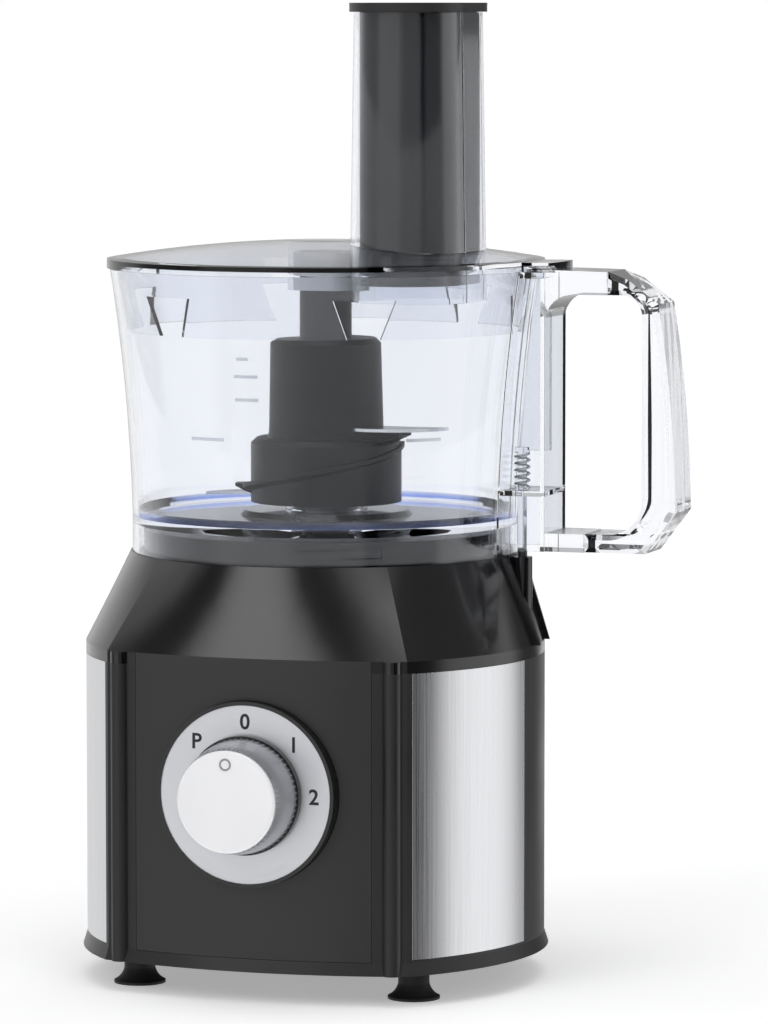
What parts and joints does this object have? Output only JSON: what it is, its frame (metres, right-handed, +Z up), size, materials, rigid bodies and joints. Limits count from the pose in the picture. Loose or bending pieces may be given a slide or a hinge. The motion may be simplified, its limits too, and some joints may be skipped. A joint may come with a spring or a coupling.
{
  "type": "food processor",
  "caption": "Compact food processor: motor stand with a dial, clear bowl with a handle, blade, and a lid with a feed tube and pusher.",
  "frame": {"origin": "where the drive axis meets the surface that the feet stand on", "axes": "+Z up along the drive axis; -Y out of the front, where the dial is; +X towards the bowl's handle"},
  "size_m": [0.236, 0.1999, 0.3781],
  "materials": {
    "housing_black": "moulded black plastic, fine satin grain",
    "panel_black": "smooth satin black plastic",
    "gloss_black": "polished black plastic",
    "trim_black": "glossy black plastic",
    "brushed_steel": "stainless sheet brushed upright",
    "foot_rubber": "black rubber",
    "screw_steel": "zinc-plated steel screws",
    "dial_silver": "silver, brushed in circles",
    "switch_plastic": "dark moulded plastic",
    "board": "green circuit board",
    "lamination": "stacked electrical steel sheets",
    "copper": "copper",
    "carbon": "carbon",
    "bracket_steel": "pressed steel",
    "bearing_bronze": "sintered bronze",
    "spring_steel": "spring wire",
    "knob_silver": "silver, finely ribbed",
    "cap_white": "pale, glossy",
    "shaft_steel": "ground steel",
    "fan_plastic": "grey moulded plastic",
    "coupler_plastic": "black acetal",
    "bush_white": "white acetal",
    "clear_plastic": "clear moulded plastic, slightly blue at its edges",
    "rod_clear": "clear moulded plastic",
    "hub_black": "satin black plastic",
    "blade_steel": "polished stainless steel",
    "pusher_black": "satin black plastic"
  },
  "bodies": {
    "base": {"main_housing": "housing_black", "bottom_cover": "housing_black", "front_panel": "panel_black", "steel_panel_right": "brushed_steel", "steel_panel_left": "brushed_steel", "top_cover": "gloss_black", "foot_front_left": "foot_rubber", "foot_front_right": "foot_rubber", "foot_back_left": "foot_rubber", "foot_back_right": "foot_rubber", "cover_screws": "screw_steel", "dial_bezel": "trim_black", "dial_plate": "dial_silver", "rotary_switch": "switch_plastic", "control_board": "board", "cord_gland": "foot_rubber", "stator_core": "lamination", "field_windings": "copper", "carbon_brushes": "carbon", "brush_holders": "switch_plastic", "lower_bracket": "bracket_steel", "lower_bearing": "bearing_bronze", "upper_bracket": "bracket_steel", "upper_bearing": "bearing_bronze", "motor_mounts": "foot_rubber", "mount_screws": "screw_steel", "shaft_seal": "foot_rubber", "plunger_spring": "spring_steel", "interlock_switch": "switch_plastic"},
    "knob": {"knob": "knob_silver", "knob_root_ring": "trim_black", "knob_cap": "cap_white", "switch_spindle": "shaft_steel"},
    "drive": {"motor_shaft": "shaft_steel", "armature_core": "lamination", "armature_windings": "copper", "commutator": "copper", "cooling_fan": "fan_plastic", "drive_coupler": "coupler_plastic"},
    "plunger": {"interlock_plunger": "coupler_plastic"},
    "bowl_seat": {"bowl_bush": "bush_white"},
    "bowl": {"bowl": "clear_plastic", "handle_grip": "clear_plastic", "rod_spring": "spring_steel"},
    "rod": {"interlock_rod": "rod_clear"},
    "blade": {"spindle_adapter": "hub_black", "blade_hub": "hub_black", "upper_blade": "blade_steel", "lower_blade": "blade_steel"},
    "lid_seat": {"lid_bush": "bush_white"},
    "lid": {"lid": "clear_plastic"},
    "pusher": {"pusher": "pusher_black"}
  },
  "joints": [
    {"name": "knob_turn", "type": "hinge", "parent": "base", "child": "knob", "pos_m": [0, -0.095, 0.08], "axis": [0, 1, 0], "range_deg": [-45, 90]},
    {"name": "drive_spin", "type": "hinge", "parent": "base", "child": "drive", "pos_m": [0, 0, 0.09], "axis": [0, 0, 1], "continuous": true},
    {"name": "plunger_slide", "type": "slide", "parent": "base", "child": "plunger", "axis": [0, 0, 1], "range_m": [0, 0.004], "deforming": ["plunger_spring"]},
    {"name": "bowl_lift", "type": "slide", "parent": "base", "child": "bowl_seat", "axis": [0, 0, 1], "range_m": [0, 0.12]},
    {"name": "bowl_twist", "type": "hinge", "parent": "bowl_seat", "child": "bowl", "pos_m": [0, 0, 0.175], "axis": [0, 0, 1], "range_deg": [0, 25]},
    {"name": "blade_spin", "type": "hinge", "parent": "bowl_seat", "child": "blade", "pos_m": [0, 0, 0.2], "axis": [0, 0, 1], "continuous": true},
    {"name": "rod_slide", "type": "slide", "parent": "bowl", "child": "rod", "axis": [0, 0, 1], "range_m": [0, 0.004], "deforming": ["rod_spring"]},
    {"name": "lid_lift", "type": "slide", "parent": "bowl", "child": "lid_seat", "axis": [0, 0, 1], "range_m": [0, 0.12]},
    {"name": "lid_twist", "type": "hinge", "parent": "lid_seat", "child": "lid", "pos_m": [0, 0, 0.275], "axis": [0, 0, 1], "range_deg": [0, 20]},
    {"name": "pusher_slide", "type": "slide", "parent": "lid", "child": "pusher", "axis": [0, 0, 1], "range_m": [0, 0.12]}
  ],
  "couplings": [
    {"joint": "blade_spin", "follows": "drive_spin", "ratio": 1},
    {"joint": "rod_slide", "follows": "lid_twist", "m_per_rad": 0.011448},
    {"joint": "plunger_slide", "follows": "lid_twist", "m_per_rad": 0.011448}
  ]
}
